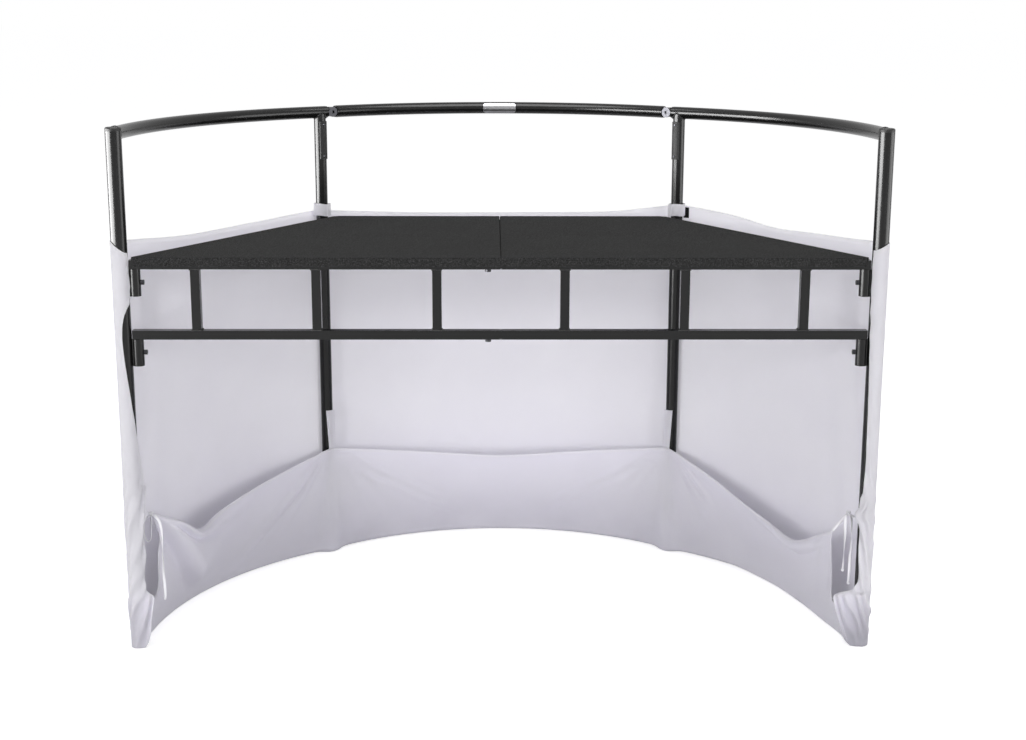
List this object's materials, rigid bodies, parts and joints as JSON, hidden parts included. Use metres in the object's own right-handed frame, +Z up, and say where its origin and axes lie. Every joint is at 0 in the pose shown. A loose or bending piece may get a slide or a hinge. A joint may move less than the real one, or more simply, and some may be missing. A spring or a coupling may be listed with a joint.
{
  "type": "dj booth",
  "caption": "Curved free-standing booth: bolted black tube frame, white stretch cover laced inside, and a two-part carpeted table that drops into clamped sleeves.",
  "frame": {"origin": "centre of the booth's footprint on the floor, below the middle of its box", "axes": "+X along the table's long edge, +Y away from the standing side towards the audience, +Z up"},
  "size_m": [1.6942, 0.8602, 1.182],
  "materials": {
    "black_powder_coat": "satin powder coat on steel tube",
    "matte_black_steel": "matte black",
    "black_fastener": "black oxide",
    "black_cap": "moulded",
    "rubber_foot": "moulded",
    "bare_plate": "brushed",
    "carpeted_board": "needle felt carpet over board",
    "scrim_cloth": "stretch knit",
    "tie_tape": "woven tape"
  },
  "bodies": {
    "facade": {"badge_plate": "bare_plate", "centre_bottom_rail": "black_powder_coat", "centre_cover": "scrim_cloth", "centre_flap": "scrim_cloth", "centre_top_rail": "black_powder_coat", "feet": "rubber_foot", "left_bottom_rail": "black_powder_coat", "left_cover": "scrim_cloth", "left_end_post": "black_powder_coat", "left_end_wrap": "scrim_cloth", "left_flap": "scrim_cloth", "left_ledge": "matte_black_steel", "left_lower_sleeve": "black_powder_coat", "left_mid_post": "black_powder_coat", "left_post_strap": "scrim_cloth", "left_rail_lugs": "black_powder_coat", "left_strap_plate": "matte_black_steel", "left_tie_tail": "tie_tape", "left_top_rail": "black_powder_coat", "left_upper_sleeve": "black_powder_coat", "post_caps": "black_cap", "right_bottom_rail": "black_powder_coat", "right_cover": "scrim_cloth", "right_end_post": "black_powder_coat", "right_end_wrap": "scrim_cloth", "right_flap": "scrim_cloth", "right_ledge": "matte_black_steel", "right_lower_sleeve": "black_powder_coat", "right_mid_post": "black_powder_coat", "right_post_strap": "scrim_cloth", "right_rail_lugs": "black_powder_coat", "right_short_tie_tail": "tie_tape", "right_strap_plate": "matte_black_steel", "right_tie_tail": "tie_tape", "right_top_rail": "black_powder_coat", "right_upper_sleeve": "black_powder_coat", "tie_knots": "tie_tape"},
    "table": {"left_deck": "carpeted_board", "right_deck": "carpeted_board", "left_upper_tube": "black_powder_coat", "right_upper_tube": "black_powder_coat", "left_lower_tube": "black_powder_coat", "right_lower_tube": "black_powder_coat", "left_side_tube": "black_powder_coat", "right_side_tube": "black_powder_coat", "left_rear_tube": "black_powder_coat", "right_rear_tube": "black_powder_coat", "left_struts": "black_powder_coat", "right_struts": "black_powder_coat", "table_pins": "black_powder_coat"},
    "left_upper_clamp_screw": {"left_upper_clamp_screw": "black_fastener"},
    "left_lower_clamp_screw": {"left_lower_clamp_screw": "black_fastener"},
    "left_top_rail_bolt": {"left_top_rail_bolt": "black_fastener"},
    "left_bottom_rail_bolt": {"left_bottom_rail_bolt": "black_fastener"},
    "right_upper_clamp_screw": {"right_upper_clamp_screw": "black_fastener"},
    "right_lower_clamp_screw": {"right_lower_clamp_screw": "black_fastener"},
    "right_top_rail_bolt": {"right_top_rail_bolt": "black_fastener"},
    "right_bottom_rail_bolt": {"right_bottom_rail_bolt": "black_fastener"},
    "upper_seam_bolt": {"upper_seam_bolt": "black_fastener"},
    "lower_seam_bolt": {"lower_seam_bolt": "black_fastener"}
  },
  "joints": [
    {"name": "table_lift", "type": "slide", "parent": "facade", "child": "table", "axis": [0, 0, 1], "range_m": [0, 0.07]},
    {"name": "left_upper_clamp_screw_turn", "type": "hinge", "parent": "facade", "child": "left_upper_clamp_screw", "pos_m": [-0.79795, -0.408, 0.846], "axis": [1, 0, 0], "range_deg": [0, 1080]},
    {"name": "left_lower_clamp_screw_turn", "type": "hinge", "parent": "facade", "child": "left_lower_clamp_screw", "pos_m": [-0.79795, -0.408, 0.69], "axis": [1, 0, 0], "range_deg": [0, 1080]},
    {"name": "left_top_rail_bolt_turn", "type": "hinge", "parent": "facade", "child": "left_top_rail_bolt", "pos_m": [-0.43013, 0.25992, 1.167], "axis": [0.6254, -0.7803, 0], "range_deg": [0, 1440]},
    {"name": "left_bottom_rail_bolt_turn", "type": "hinge", "parent": "facade", "child": "left_bottom_rail_bolt", "pos_m": [-0.43013, 0.25992, 0.021], "axis": [0.6254, -0.7803, 0], "range_deg": [0, 1440]},
    {"name": "right_upper_clamp_screw_turn", "type": "hinge", "parent": "facade", "child": "right_upper_clamp_screw", "pos_m": [0.79795, -0.408, 0.846], "axis": [-1, 0, 0], "range_deg": [0, 1080]},
    {"name": "right_lower_clamp_screw_turn", "type": "hinge", "parent": "facade", "child": "right_lower_clamp_screw", "pos_m": [0.79795, -0.408, 0.69], "axis": [-1, 0, 0], "range_deg": [0, 1080]},
    {"name": "right_top_rail_bolt_turn", "type": "hinge", "parent": "facade", "child": "right_top_rail_bolt", "pos_m": [0.43013, 0.25992, 1.167], "axis": [-0.6254, -0.7803, 0], "range_deg": [0, 1440]},
    {"name": "right_bottom_rail_bolt_turn", "type": "hinge", "parent": "facade", "child": "right_bottom_rail_bolt", "pos_m": [0.43013, 0.25992, 0.021], "axis": [-0.6254, -0.7803, 0], "range_deg": [0, 1440]},
    {"name": "upper_seam_bolt_turn", "type": "hinge", "parent": "table", "child": "upper_seam_bolt", "pos_m": [-0.028, -0.408, 0.876], "axis": [0, 0, -1], "range_deg": [0, 1440]},
    {"name": "lower_seam_bolt_turn", "type": "hinge", "parent": "table", "child": "lower_seam_bolt", "pos_m": [-0.028, -0.408, 0.72], "axis": [0, 0, -1], "range_deg": [0, 1440]}
  ]
}
